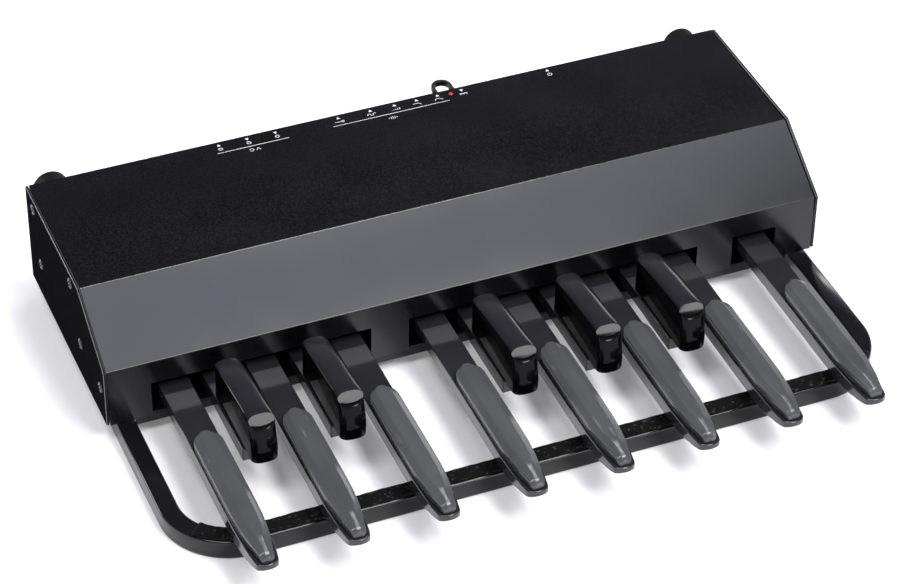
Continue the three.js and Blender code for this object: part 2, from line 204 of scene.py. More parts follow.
def gloss_paint(name, colour, rough, peel, specular=0.5):
    """Gloss enamel with a faint orange peel and a few hazy patches."""
    mat, tree, shader = new_material(name)
    cloud = noise(tree, 30, 4)
    hazy = tuple(c * 1.35 for c in colour)
    link(tree, ramp(tree, cloud, [(0.3, colour), (0.7, hazy)]), shader.inputs["Base Color"])
    link(tree, spread(tree, cloud, rough * 0.8, rough * 1.3), shader.inputs["Roughness"])
    shader.inputs["Specular IOR Level"].default_value = specular
    bump(tree, shader, noise(tree, 350, 2), peel, 0.05)
    return mat


def paler_on_top_gloss(name, steep_colour, lit_top_colour, specular):
    """Gloss plastic that is paler and rougher where it faces up; the paler colour is painted light on the
    top.
    """
    mat, tree, shader = new_material(name)
    where = tree.nodes.new("ShaderNodeTexCoord")
    split = tree.nodes.new("ShaderNodeSeparateXYZ")
    link(tree, where.outputs["Normal"], split.inputs["Vector"])
    upward = split.outputs["Z"]
    steep, level = 0.8, 0.95
    # Painted light: the colour turns paler as the face turns up.
    link(tree, ramp(tree, upward, [(steep, steep_colour), (level, lit_top_colour)]), shader.inputs["Base Color"])
    link(tree, ramp(tree, upward, [(steep, grey(0.09)), (level, grey(0.17))]), shader.inputs["Roughness"])
    shader.inputs["Specular IOR Level"].default_value = specular
    bump(tree, shader, noise(tree, 350, 2), 0.02, 0.05)
    return mat


def cap_rubber():
    """Grey moulded grip with fine grain, cloudy tone and light scuffs along its length."""
    mat, tree, shader = new_material("grey_cap")
    grain = noise(tree, 2200, 4)
    cloud = noise(tree, 45, 4, (1, 0.35, 1))
    tone = ramp(tree, cloud, [(0.3, (0.044, 0.045, 0.048)), (0.7, (0.058, 0.059, 0.062))])
    scuffed = ramp(tree, grain, [(0.3, (0.13, 0.131, 0.136)), (0.7, (0.19, 0.191, 0.196))])
    streaks = noise(tree, 260, 6, (1, 0.16, 1), 3.1)
    patches = noise(tree, 28, 2, (1, 0.5, 1), 7.7)
    both = tree.nodes.new("ShaderNodeMath")
    both.operation = "MULTIPLY"
    link(tree, streaks, both.inputs[0])
    link(tree, patches, both.inputs[1])
    where = ramp(tree, both.outputs["Value"], [(0.37, (0, 0, 0)), (0.46, (0.5, 0.5, 0.5))])
    link(tree, mix(tree, where, tone, scuffed), shader.inputs["Base Color"])
    link(tree, spread(tree, cloud, 0.19, 0.27), shader.inputs["Roughness"])
    bump(tree, shader, grain, 0.12, 0.04)
    return mat


def felt_cloth(name, dark, light):
    """Pressed fibres: dark ground with pale specks and a faint sheen."""
    mat, tree, shader = new_material(name)
    fibres = noise(tree, 1100, 8)
    specks = noise(tree, 420, 6, (1, 1, 1), 5.3)
    ground = ramp(tree, fibres, [(0.35, dark), (0.65, light)])
    pale = ramp(tree, fibres, [(0.3, grey(0.03)), (0.7, grey(0.09))])
    where = ramp(tree, specks, [(0.6, (0, 0, 0)), (0.7, (0.8, 0.8, 0.8))])
    link(tree, mix(tree, where, ground, pale), shader.inputs["Base Color"])
    link(tree, spread(tree, fibres, 0.85, 0.98), shader.inputs["Roughness"])
    shader.inputs["Specular IOR Level"].default_value = 0.1
    shader.inputs["Sheen Weight"].default_value = 0.02
    shader.inputs["Sheen Roughness"].default_value = 0.5
    bump(tree, shader, fibres, 0.6, 0.3)
    return mat


def matte_plastic(name, dark, light, rough, scale=900, specular=0.5):
    """Plastic, rubber or ink with a fine grain of the given scale."""
    mat, tree, shader = new_material(name)
    grain = noise(tree, scale, 4)
    link(tree, ramp(tree, grain, [(0.35, dark), (0.65, light)]), shader.inputs["Base Color"])
    link(tree, spread(tree, noise(tree, 60, 3), rough - 0.05, rough + 0.05), shader.inputs["Roughness"])
    shader.inputs["Specular IOR Level"].default_value = specular
    bump(tree, shader, grain, 0.15, 0.05)
    return mat


def brushed_steel(name, dark, light, rough):
    """Metal with fine lines along X."""
    mat, tree, shader = new_material(name)
    lines = noise(tree, 900, 5, (0.05, 1, 1))
    link(tree, ramp(tree, lines, [(0.3, dark), (0.7, light)]), shader.inputs["Base Color"])
    link(tree, spread(tree, lines, rough - 0.06, rough + 0.06), shader.inputs["Roughness"])
    shader.inputs["Metallic"].default_value = 1
    bump(tree, shader, lines, 0.08, 0.03)
    return mat


def lens_red():
    """Red lens with a weak glow of its own."""
    mat, tree, shader = new_material("red_lens")
    cloud = noise(tree, 700, 2)
    deep, bright = (0.42, 0.006, 0.008), (0.6, 0.015, 0.02)
    link(tree, ramp(tree, cloud, [(0.3, deep), (0.7, bright)]), shader.inputs["Base Color"])
    shader.inputs["Roughness"].default_value = 0.12
    shader.inputs["Emission Color"].default_value = (0.8, 0.02, 0.02, 1)
    shader.inputs["Emission Strength"].default_value = 0.25
    return mat


def circuit_board():
    """Green solder mask over paler tracks."""
    mat, tree, shader = new_material("board")
    tracks = noise(tree, 240, 0, (1, 0.12, 1))
    mask, track = (0.01, 0.05, 0.02), (0.03, 0.13, 0.05)
    tone = ramp(tree, tracks, [(0.46, mask), (0.5, track), (0.54, mask)])
    link(tree, tone, shader.inputs["Base Color"])
    shader.inputs["Roughness"].default_value = 0.35
    bump(tree, shader, tracks, 0.1, 0.05)
    return mat


def floor_paper():
    """Pale matt sweep, lifted a little so that it stays near white."""
    mat, tree, shader = new_material("floor_paper")
    cloud = noise(tree, 3, 2)
    dull, clear = (0.78, 0.765, 0.785), (0.8, 0.785, 0.805)
    link(tree, ramp(tree, cloud, [(0.3, dull), (0.7, clear)]), shader.inputs["Base Color"])
    shader.inputs["Roughness"].default_value = 0.8
    shader.inputs["Specular IOR Level"].default_value = 0.1
    shader.inputs["Emission Color"].default_value = (1, 1, 1, 1)
    shader.inputs["Emission Strength"].default_value = 0.15
    return mat


housing_paint = textured_paint("housing_paint", grey(0.0005, 1.5), grey(0.007, 1.4), 0.2, 0.5)
# Paler, glossier copy of the housing paint for the upper bend: a painted highlight along the crease.
crease_highlight_paint = textured_paint("crease_highlight_paint", grey(0.004, 1.4), grey(0.012, 1.4), 0.2, 1)
plate_paint = textured_paint("plate_paint", grey(0.005, 1.2), grey(0.01, 1.2), 0.5, 0)
frame_paint = gloss_paint("frame_paint", grey(0.004, 1.2), 0.13, 0.06, 0.36)
# Paler gloss for the end plates' bevelled rims: painted highlight lines along their edges.
rim_highlight_paint = gloss_paint("rim_highlight_paint", grey(0.02, 1.1), 0.16, 0.03, 1)
arm_paint = gloss_paint("arm_paint", grey(0.011, 1.15), 0.1, 0.04, 0.6)
# The sharps' tops are painted paler than their sides, as light falls on them.
sharp_gloss = paler_on_top_gloss("sharp_gloss", grey(0.0015, 1.3), grey(0.011, 1.25), 0.24)
# A copy of the sharps' gloss that reflects less, for their steep faces: painted shade on the fronts and
# sides.
sharp_shaded_gloss = paler_on_top_gloss("sharp_shaded_gloss", grey(0.0015, 1.3), grey(0.011, 1.25), 0.12)
grey_cap = cap_rubber()
felt = felt_cloth("felt", grey(0.001), grey(0.004))
rubber = matte_plastic("bumper_rubber", grey(0.003), grey(0.006), 0.6, 900, 0.08)
plastic = matte_plastic("black_plastic", grey(0.003), grey(0.006), 0.42, 1400, 0.3)
ink = matte_plastic("white_ink", grey(0.6), grey(0.72), 0.6, 2500)
steel = brushed_steel("steel", grey(0.42), grey(0.6), 0.32)
screw_steel = brushed_steel("screw_steel", grey(0.04), grey(0.09), 0.24)
red_lens = lens_red()
board = circuit_board()


# ---- mesh helpers ----


def piece(name, points, faces, mat, body="chassis", nodes=()):
    """A smooth mesh that rides a body, fills a slot and stands in for the given CAD nodes."""
    mesh = bpy.data.meshes.new(name)
    mesh.from_pydata([place(p) for p in points], [], faces)
    mesh.materials.append(mat)
    work = bmesh.new()
    work.from_mesh(mesh)
    bmesh.ops.remove_doubles(work, verts=work.verts, dist=1e-6)
    bmesh.ops.dissolve_degenerate(work, edges=work.edges, dist=1e-6)
    bmesh.ops.recalc_face_normals(work, faces=work.faces)
    work.to_mesh(mesh)
    work.free()
    mesh.shade_smooth()
    obj = bpy.data.objects.new(name, mesh)
    bpy.context.scene.collection.objects.link(obj)
    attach(obj, body)
    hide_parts(*nodes)
    return obj


def bevel(obj, width, segments=3, angle=30):
    """Rounds the edges that are sharper than an angle in degrees."""
    modifier = obj.modifiers.new("bevel", "BEVEL")
    modifier.width = width * MM
    modifier.segments = segments
    modifier.limit_method = "ANGLE"
    modifier.angle_limit = math.radians(angle)
    modifier.harden_normals = True
    return obj


def loft_data(rings, ends=True):
    """Points and faces of a skin over rings of equal length."""
    count = len(rings[0])
    points = [p for ring in rings for p in ring]
    faces = []
    for i in range(len(rings) - 1):
        for j in range(count):
            a, b = i * count + j, i * count + (j + 1) % count
            faces.append((a, b, b + count, a + count))
    if ends:
        last = (len(rings) - 1) * count
        faces.append(tuple(range(count)))
        faces.append(tuple(range(last, last + count)))
    return points, faces


def loft(name, rings, mat, body="chassis", nodes=(), ends=True):
    points, faces = loft_data(rings, ends)
    return piece(name, points, faces, mat, body, nodes)


def turned(name, profile, axis, at, mat, body="chassis", nodes=(), segments=64):
    """Turns (radius, height) pairs about an axis through the point at."""
    rings = []
    for radius, height in profile:
        ring = []
        for k in range(segments):
            angle = 2 * math.pi * k / segments
            a, b = radius * math.cos(angle), radius * math.sin(angle)
            local = {"x": (height, a, b), "y": (a, height, b), "z": (a, b, height)}[axis]
            ring.append(tuple(c + o for c, o in zip(at, local)))
        rings.append(ring)
    return loft(name, rings, mat, body, nodes)


def between(a, b, c, d, t):
    """The Catmull-Rom value at share t of the way from b to c."""
    square = (2 * a - 5 * b + 4 * c - d) * t * t
    cube = (3 * b - a - 3 * c + d) * t ** 3
    return 0.5 * (2 * b + (c - a) * t + square + cube)


def curve_through(points, steps=6):
    """A smooth line through 2-D points."""
    padded = [points[0], *points, points[-1]]
    out = []
    for p0, p1, p2, p3 in zip(padded, padded[1:], padded[2:], padded[3:]):
        for k in range(steps):
            out.append(tuple(between(a, b, c, d, k / steps) for a, b, c, d in zip(p0, p1, p2, p3)))
    return [*out, points[-1]]


def table_lookup(points, steps=6):
    """A smooth function through (position, value) points."""
    dense = sorted(curve_through(points, steps))
    xs = [p[0] for p in dense]
    ys = [p[1] for p in dense]
    return lambda x: float(np.interp(x, xs, ys))


def rounded_line(points, radius, steps=5):
    """Rounds every corner of an open 2-D line, and keeps its two ends."""
    out = [points[0]]
    for before, corner, after in zip(points, points[1:], points[2:]):
        c = Vector(corner)
        a = (Vector(before) - c).normalized()
        b = (Vector(after) - c).normalized()
        half = a.angle(b) / 2
        reach = radius / math.tan(half)
        centre = c + (a + b).normalized() * (radius / math.sin(half))
        start, end = c + a * reach - centre, c + b * reach - centre
        for k in range(steps + 1):
            turn = start.slerp(end, k / steps) if start.angle(end) > 1e-4 else start
            out.append(tuple(centre + turn))
    return [*out, points[-1]]


def rounded_rectangle(half_u, v0, v1, radius, steps=4):
    """Closed outline of a rectangle with rounded corners, as (u, v) pairs."""
    out = []
    corners = [(half_u, v0, -90), (half_u, v1, 0), (-half_u, v1, 90), (-half_u, v0, 180)]
    for u, v, start in corners:
        cu = u - math.copysign(radius, u)
        cv = v + radius if v == v0 else v - radius
        for k in range(steps + 1):
            angle = math.radians(start + 90 * k / steps)
            out.append((cu + radius * math.cos(angle), cv + radius * math.sin(angle)))
    return out


BOX_FACES = [(0, 1, 2, 3), (4, 5, 6, 7), (0, 1, 5, 4), (1, 2, 6, 5), (2, 3, 7, 6), (3, 0, 4, 7)]


def block_points(low, high):
    """The eight corners of a block, in the order that BOX_FACES names them."""
    x0, y0, z0 = low
    x1, y1, z1 = high
    level = [(x0, y0), (x1, y0), (x1, y1), (x0, y1)]
    return [(x, y, z) for z in (z0, z1) for x, y in level]


# ---- frame ----


def corner_arc(side, from_angle, steps):
    """Level path points round one front corner, from the side rail (0) to the front bar (90)."""
    cx, cy = side * (RAIL_X - CORNER_RADIUS), FRAME_FRONT_Y + CORNER_RADIUS
    path = []
    for k in range(steps + 1):
        angle = math.radians(from_angle + (90 - from_angle) * k / steps)
        nx, ny = side * math.cos(angle), -math.sin(angle)
        path.append((cx + CORNER_RADIUS * nx, cy + CORNER_RADIUS * ny, nx, ny))
    return path


def swept(path, section):
    """Rings of a section along a level path of (x, y, outward x, outward y)."""
    return [[(x + nx * out, y + ny * out, up) for out, up in section] for x, y, nx, ny in path]


def base_frame():
    """One bar, bent into a U that is open behind."""
    corner_steps, edge_radius = 28, 1.6
    path = [
        (-RAIL_X, FRAME_REAR_Y, -1, 0),
        *corner_arc(-1, 0, corner_steps),
        *reversed(corner_arc(1, 0, corner_steps)),
        (RAIL_X, FRAME_REAR_Y, 1, 0),
    ]
    section = rounded_rectangle(FRAME_WIDTH / 2, 0, FRAME_HEIGHT, edge_radius)
    loft("base_frame_bar", swept(path, section), frame_paint, nodes=["base_frame"])


def front_felt():
    """A strip of felt with a slightly uneven edge, from corner to corner."""
    from_angle, corner_steps = 40, 20
    left, right = corner_arc(-1, from_angle, corner_steps), corner_arc(1, from_angle, corner_steps)
    start, end = left[-1], right[-1]
    count = 150
    middle = [(start[0] + (end[0] - start[0]) * k / count, start[1], 0, -1) for k in range(1, count)]
    path = [*left, *middle, *reversed(right)]
    half = FRAME_WIDTH / 2 - 1.2
    bottom, edge_radius = FRAME_HEIGHT + 0.05, 0.7
    rings = []
    for i, (x, y, nx, ny) in enumerate(path):
        wave = 0.12 * math.sin(i * 1.7) + 0.1 * math.sin(i * 0.61 + 1)
        top = FRAME_HEIGHT + FELT_THICKNESS + 0.1 * wave
        outline = rounded_rectangle(half + wave - 0.2, bottom, top, edge_radius, 3)
        rings.append([(x + nx * out, y + ny * out, up) for out, up in outline])
    loft("front_felt_strip", rings, felt, nodes=["front_felt"])


# ---- housing ----


def top_cover():
    """Bent sheet with slots in its front face: a grid of cells with the slots left out."""
    bend_radius, bend_steps = 2.2, 7
    corners = [(0, SLOT_TOP_Z), (0, KNEE_Z), (SLOPE_DEPTH, TOP_Z), (REAR_Y, TOP_Z)]
    profile = [(0, BASE_Z), *rounded_line(corners, bend_radius, bend_steps)]
    edges = sorted({-COVER_HALF, COVER_HALF, *[x for slot in SLOTS for x in slot]})
    points = [(x, y, z) for x in edges for y, z in profile]
    faces = []
    for i, (x0, x1) in enumerate(zip(edges, edges[1:])):
        open_below = any(a <= (x0 + x1) / 2 <= b for a, b in SLOTS)
        for j in range(len(profile) - 1):
            if not (open_below and j == 0):
                a = i * len(profile) + j
                faces.append((a, a + len(profile), a + len(profile) + 1, a + 1))
    cover = piece("top_cover_sheet", points, faces, housing_paint, nodes=["top_cover"])
    paint_upper_bend(cover)
    solidify = cover.modifiers.new("thickness", "SOLIDIFY")
    solidify.thickness = SHEET * MM
    solidify.offset = -1
    solidify.use_even_offset = True
    bevel(cover, 0.35, 2, 40)
    # The sheet thickens away from its normals, so they have to point outwards.
    if cover.data.polygons[0].normal.y > 0:
        cover.data.flip_normals()


def paint_upper_bend(cover):
    """Gives the paler, glossier paint to the bend between the slope and the flat top: a painted highlight
    along that crease.
    """
    cover.data.materials.append(crease_highlight_paint)
    for face in cover.data.polygons:
        if 0.05 < abs(face.normal.y) < 0.5:
            face.material_index = 1


def end_plate(name, side):
    """Flat plate whose bevelled rims take a paler gloss, a painted highlight along its edges; its closed
    outline starts and ends on the front edge.
    """
    front, top, rear = -PLATE_LIFT, TOP_Z + PLATE_LIFT, REAR_Y + PLATE_LIFT
    corners = [
        (front, BASE_Z),
        (front, KNEE_Z + 0.5),
        (SLOPE_DEPTH - 0.5, top),
        (rear, top),
        (rear, BASE_Z),
        (front, BASE_Z),
        (front, KNEE_Z + 0.5),
    ]
    outline = rounded_line(corners, 1.6, 4)[1:-1]
    inside, outside = side * (HOUSING_HALF - PLATE), side * HOUSING_HALF
    rings = [[(x, y, z) for y, z in outline] for x in (inside, outside)]
    panel = loft(f"{name}_panel", rings, plate_paint, nodes=[name])
    # The bevelled rims take the paler gloss: painted highlight lines round the plate.
    panel.data.materials.append(rim_highlight_paint)
    bevel(panel, 0.5, 3).modifiers["bevel"].material = 1
    for i, (y, z) in enumerate(PLATE_SCREWS):
        plate_screw(f"{name}_screw_{i + 1}", side, y, z)


def plate_screw(name, side, y, z):
    """Domed screw head, with a dark cross on it: painted shade standing in for its cross slot."""
    x = side * HOUSING_HALF
    head = [(0, 0.1), (3.9, 0.1), (4, 0.5), (3.75, 1), (3.2, 1.4), (2.2, 1.7), (1.1, 1.85), (0, 1.9)]
    profile = [(r, side * h) for r, h in head]
    turned(f"{name}_head", profile, "x", (x, y, z), screw_steel, segments=32)
    # A raised dark cross paints the shade of the cross slot.
    points, faces = [], []
    arm, half_width, bottom, top = 2.1, 0.34, 1.2, 1.93
    for a_half, b_half in ((arm, half_width), (half_width, arm)):
        base = len(points)
        outline = [(-a_half, -b_half), (a_half, -b_half), (a_half, b_half), (-a_half, b_half)]
        points += [(x + side * h, y + a, z + b) for h in (bottom, top) for a, b in outline]
        faces += [tuple(base + k for k in f) for f in BOX_FACES]
    piece(f"{name}_painted_shade_cross", points, faces, plate_paint)


def bottom_pan():
    """Bottom of the housing, with a lip that hangs down in front."""
    front, rear = SHEET + GAP, REAR_Y - 3
    lip_half = RAIL_X - FRAME_WIDTH / 2 - 1
    lip_drop = 7
    sheet = block_points((-COVER_HALF, front, BASE_Z), (COVER_HALF, rear, BASE_Z + SHEET))
    lip = block_points((-lip_half, front, BASE_Z - lip_drop), (lip_half, front + SHEET, BASE_Z))
    faces = [*BOX_FACES, *[tuple(k + len(sheet) for k in f) for f in BOX_FACES]]
    pan = piece("bottom_pan_sheet", sheet + lip, faces, frame_paint, nodes=["bottom_pan"])
    bevel(pan, 0.4, 2)


def bumper(name, side):
    """Round rubber foot with its screw at the bottom of a hole."""
    at = (side * BUMPER_X, REAR_Y, BUMPER_Z)
    profile = [
        (0, GAP), (12.4, GAP), (12.9, 0.8), (13, 1.6), (13, 15), (12.7, 16.3), (11.9, 17.4),
        (10.6, 18.2), (9, 18.5), (5, 18.5), (4.6, 18.2), (4.4, 14), (0, 14),
    ]
    turned(f"{name}_foot", profile, "y", at, rubber, nodes=[name])
    screw = [(0, 14), (3.4, 14), (3.4, 15), (2.6, 15.8), (0, 16)]
    turned(f"{name}_screw", screw, "y", at, screw_steel, segments=32)


def cord_hook():
    """A flat moulded hook that starts at the rear panel and curls back towards it."""
    root = REAR_Y - 0.2 + GAP
    steps = 24
    path = [(HOOK_X + HOOK_RADIUS, root, 1, 0)]
    for k in range(steps + 1):
        angle = math.radians(180 * k / steps)
        nx, ny = math.cos(angle), math.sin(angle)
        path.append((HOOK_X + HOOK_RADIUS * nx, HOOK_Y + HOOK_RADIUS * ny, nx, ny))
    path.append((HOOK_X - HOOK_RADIUS, root + 3, -1, 0))
    section = rounded_rectangle(1.2, HOOK_Z - 2.5, HOOK_Z + 2.5, 0.7, 3)
    loft("cord_hook_strip", swept(path, section), plastic, nodes=["cord_hook"])


def power_lamp():
    """Small domed lens in a black rim."""
    at = (LAMP_X, LAMP_Y, TOP_Z)
    lens = [(0, -0.1), (1.5, -0.1), (1.45, 0.3), (1.1, 0.62), (0.6, 0.78), (0, 0.82)]
    turned("power_lamp_lens", lens, "z", at, red_lens, nodes=["power_lamp"], segments=32)
    rim = [(1.5, -0.05), (2.1, -0.05), (2.1, 0.2), (1.9, 0.32), (1.6, 0.3), (1.5, 0.1)]
    turned("power_lamp_rim", rim, "z", at, plastic, segments=32)


# ---- printed marks on the top ----

MARK_LINE = 0.5  # width of most strokes


def stroke(start, end, width):
    """A thin bar between two points of the top, as four corners."""
    a, b = Vector(start), Vector(end)
    along = (b - a).normalized()
    across = Vector((-along.y, along.x)) * (width / 2)
    return [a - across, b - across, b + across, a + across]


def ring_strokes(x, y, radius, start, end, width, steps=14):
    """Strokes round a centre, from a start to an end angle in degrees."""
    spots = []
    for k in range(steps + 1):
        angle = math.radians(start + (end - start) * k / steps)
        spots.append((x + radius * math.cos(angle), y + radius * math.sin(angle)))
    return [stroke(a, b, width) for a, b in zip(spots, spots[1:])]


def triangle(x, y, direction):
    """A small arrowhead that points to the rear edge (1) or away from it (-1)."""
    tip = Vector((x, y + 1.6 * direction))
    return [Vector((x - 1.5, y - direction)), Vector((x + 1.5, y - direction)), tip]


def zigzag(x, y, steps, width):
    """Joined strokes through points given from (x, y)."""
    spots = [(x + dx, y + dy) for dx, dy in steps]
    return [stroke(a, b, width) for a, b in zip(spots, spots[1:])]


def arrows_and_lines():
    """A triangle before each connector and control, and a line over each of the two groups."""
    arrow_y = 174.3
    places = [
        (-128.8, 1), (-107, -1), (-85.2, -1), (-36.2, 1), (-11, 1),
        (8.1, 1), (25.7, 1), (42.4, 1), (61.8, -1), (131.5, 1),
    ]
    shapes = [triangle(x, arrow_y, direction) for x, direction in places]
    shapes.append(stroke((-132.7, 165.1), (-77.7, 165.1), MARK_LINE))
    shapes.append(stroke((-43, 165.6), (49.1, 165.6), MARK_LINE))
    return shapes


def socket_symbols():
    """A ring with four dots for each round socket."""
    y, dot_radius, half = 169.6, 0.75, 0.2
    shapes = []
    for x in SOCKETS.values():
        shapes += ring_strokes(x, y, 1.5, 0, 360, 0.45)
        for angle in (0, 60, 120, 180):
            dx, dy = dot_radius * math.cos(math.radians(angle)), dot_radius * math.sin(math.radians(angle))
            shapes.append(stroke((x + dx - half, y + dy), (x + dx + half, y + dy), 0.4))
    return shapes


def control_symbols():
    """Plain signs: plug, stairs, rising bars, falling edge, pulse, direct current and power."""
    y = 169.8
    plug = [(-4, 0), (1, 0), (2, 0.9), (3, 0.9), (3, -0.9), (2, -0.9), (1, 0)]
    stairs = [(-3.4, -1), (-3.4, 1), (-1.2, 1), (-1.2, -1), (1, -1), (1, 1), (3.2, 1)]
    falling_edge = [(-3.4, 0.8), (0.4, 0.8), (1.4, 0.5), (2.8, -1)]
    pulse = [(-3.2, -1), (-2, 1), (0.4, 0.9), (3, -1)]
    shapes = zigzag(JACK_X, y, plug, MARK_LINE)
    shapes += zigzag(KNOBS["mode"], y, stairs, MARK_LINE)
    for k, dx in enumerate([-3.2, -1.6, 0, 1.6, 3.2]):
        x = KNOBS["volume"] + dx
        shapes.append(stroke((x, 168.8), (x, 168.9 + 0.45 * k), 0.7))
    shapes += zigzag(KNOBS["cutoff"], y, falling_edge, MARK_LINE)
    shapes += zigzag(42, y, pulse, MARK_LINE)
    shapes += [stroke((INLET_X - 3, 170.3), (INLET_X + 3, 170.3), MARK_LINE)]
    for dx in (-2.3, 0, 2.3):
        shapes.append(stroke((INLET_X + dx - 0.7, 169.2), (INLET_X + dx + 0.7, 169.2), MARK_LINE))
    shapes += ring_strokes(BUTTON_X, 169.4, 1.6, 125, 415, MARK_LINE)
    shapes.append(stroke((BUTTON_X, 169.6), (BUTTON_X, 171.6), MARK_LINE))
    return shapes


def group_symbols():
    """A ring and a chevron over the sockets, and a row of bars over the controls."""
    y = 160.5
    shapes = ring_strokes(-108, y, 1.5, 200, 520, MARK_LINE)
    shapes += zigzag(-103, y, [(-1.5, -1.3), (0, 1.3), (1.5, -1.3)], MARK_LINE)
    for dx, half in ((-3, 0.5), (-1.5, 1.2), (0, 1.6), (1.5, 1.2), (3, 0.5)):
        shapes.append(stroke((2 + dx, y - half), (2 + dx, y + half), 0.55))
    return shapes


def top_marks():
    """White printed marks along the rear edge of the top, as one thin mesh."""
    bottom, top = 0.01, 0.05
    points, faces = [], []
    for shape in [*arrows_and_lines(), *socket_symbols(), *control_symbols(), *group_symbols()]:
        base, count = len(points), len(shape)
        points += [(p.x, p.y, TOP_Z + h) for h in (bottom, top) for p in shape]
        faces.append(tuple(range(base + count, base + 2 * count)))
        for k in range(count):
            n = (k + 1) % count
            faces.append((base + k, base + n, base + count + n, base + count + k))
    piece("top_marks", points, faces, ink)


# ---- rear controls ----


def rear_collar(name, x, inner, outer, depth, mat):
    """A rounded ring that lies on the rear panel round a hole."""
    back, root, lip, shoulder = REAR_Y - 0.5, -0.6, 0.35, depth * 0.6
    outside = [(outer, root), (outer, shoulder), (outer - lip, depth)]
    inside = [(inner + lip, depth), (inner, shoulder), (inner, root)]
    turned(name, [inside[-1], *outside, *inside], "y", (x, back, CONTROL_Z), mat)


def hex_nut(name, x, across, inner, thickness):
    """Hexagon nut of a width across flats, with a round hole."""
    segments, back = 48, REAR_Y - 0.4
    rings = []
    for is_hole, h in ((False, 0), (False, thickness), (True, thickness), (True, 0)):
        ring = []
        for k in range(segments):
            angle = 2 * math.pi * k / segments
            sector = (angle + math.pi / 6) % (math.pi / 3) - math.pi / 6
            radius = inner if is_hole else across / 2 / math.cos(sector)
            ring.append((x + radius * math.cos(angle), back + h, CONTROL_Z + radius * math.sin(angle)))
        rings.append(ring)
    bevel(loft(name, [*rings, rings[0]], steel, ends=False), 0.25, 2)


def knob(name, x):
    """Knurled knob with a dished face and a white pointer."""
    teeth = 30
    segments = teeth * 4
    tooth_depth, smooth_radius = 0.32, 5.2
    profile = [
        (5.6, 0.6), (6.5, 1), (6.45, 4), (6.3, 8.6), (5.8, 9.6),
        (5, 10), (4.2, 9.7), (3, 9.45), (0.01, 9.4),
    ]
    rings = []
    for radius, h in profile:
        depth = tooth_depth * max(0, min(1, (radius - smooth_radius) / 0.8))
        ring = []
        for k in range(segments):
            angle = 2 * math.pi * k / segments
            r = radius - depth * (0.5 - 0.5 * math.cos(teeth * angle))
            ring.append((x + r * math.cos(angle), REAR_Y + h, CONTROL_Z + r * math.sin(angle)))
        rings.append(ring)
    body = f"{name}_control"
    loft(f"{name}_knob_grip", rings, plastic, body, [f"{name}_knob"])
    shaft = [(0, -9), (3, -9), (3, 0.7), (0, 0.7)]
    turned(f"{name}_knob_shaft", shaft, "y", (x, REAR_Y, CONTROL_Z), steel, body)
    low, high = (x - 0.45, REAR_Y + 9.3, CONTROL_Z + 1.5), (x + 0.45, REAR_Y + 9.75, CONTROL_Z + 5.4)
    pointer = block_points(low, high)
    piece(f"{name}_knob_pointer", pointer, BOX_FACES, ink, body)


def power_button():
    """Slightly dished button in a collar."""
    profile = [(0, -12), (5, -12), (5, 3.6), (4.8, 4.3), (4.2, 4.75), (3.4, 4.8), (1.8, 4.55), (0, 4.5)]
    at = (BUTTON_X, REAR_Y, CONTROL_Z)
    turned("power_button_cap", profile, "y", at, plastic, "power_switch", ["power_button"])
    rear_collar("power_button_collar", BUTTON_X, 5.35, 7.2, 1.2, plastic)


def rear_controls():
    """Collars and screws of the sockets, the nut, the inlet's collar, the knobs and the power button."""
    screw_head = [(0, -0.4), (1.6, -0.4), (1.6, 0.4), (1.1, 0.9), (0, 1.05)]
    screw_offset = 12.2
    for name, x in SOCKETS.items():
        rear_collar(f"{name}_collar", x, 7.6, 9.6, 1.1, plastic)
        for i, side in enumerate((-1, 1)):
            at = (x, REAR_Y - 0.1, CONTROL_Z + side * screw_offset)
            turned(f"{name}_screw_{i + 1}", screw_head, "y", at, screw_steel, segments=24)
    hex_nut("line_out_nut", JACK_X, 13, 5.1, 2.4)
    rear_collar("dc_inlet_collar", INLET_X, 4.3, 6.2, 1, plastic)
    for name, x in KNOBS.items():
        knob(name, x)
    power_button()


# ---- natural pedals; distances along one are measured from the tip of its nose ----

FOOT_PLAN = [(0, 0), (3.5, 0.6), (6.2, 2.1), (7.9, 4.8), (9.6, 16.5), (10.5, 28), (ARM_HALF, 41)]
foot_bottom = table_lookup([(0, 32.8), (6, 31), (18, 29), (60, ARM_BOTTOM_Z), (400, ARM_BOTTOM_Z)], 4)


def natural_arm(note, x):
    """Pressed channel with a tapered, rounded nose."""
    full_depth, tail = 62, ARM_TAIL_Y - NOSE_Y
    right = [*curve_through(FOOT_PLAN, 4), (ARM_HALF, full_depth), (ARM_HALF, tail)]
    outline = [*right, *[(-w, d) for w, d in reversed(right[1:])]]
    rings = [
        [(x + w, NOSE_Y + d, foot_bottom(d)) for w, d in outline],
        [(x + w, NOSE_Y + d, ARM_TOP_Z) for w, d in outline],
    ]
    arm = loft(f"{note}_arm_channel", rings, arm_paint, f"pedal_{note}", [f"{note}_arm"])
    bevel(arm, 0.8, 3, 40)


# Half width, height of the shoulder and of the crown, and the crown's share of the width.
cap_half = table_lookup([
    (2.7, 3), (3.1, 4.1), (3.9, 4.8), (10, 5.9), (22, 8.1), (37, 9.7), (53, 10.2), (124, 10.2),
], 4)
cap_shoulder = table_lookup([(2.7, 42.3), (6, 42.9), (12, 43.6), (26, 44.1), (131, 44.2)])
cap_crown = table_lookup([(2.7, 43.2), (5, 43.9), (9, 44.7), (16, 45.4), (26, 45.9), (131, 45.9)])
cap_flat = table_lookup([(2.7, 0.3), (12, 0.2), (26, 0.36), (40, 0.5), (131, 0.5)])
CAP_FRONT, CAP_REAR = 2.7, 130.8
CAP_TURN = 117.8  # where the round rear end starts
NOSE_ROLL = 3.2  # depth and height of the roll over the nose
REAR_ROLL = 0.9


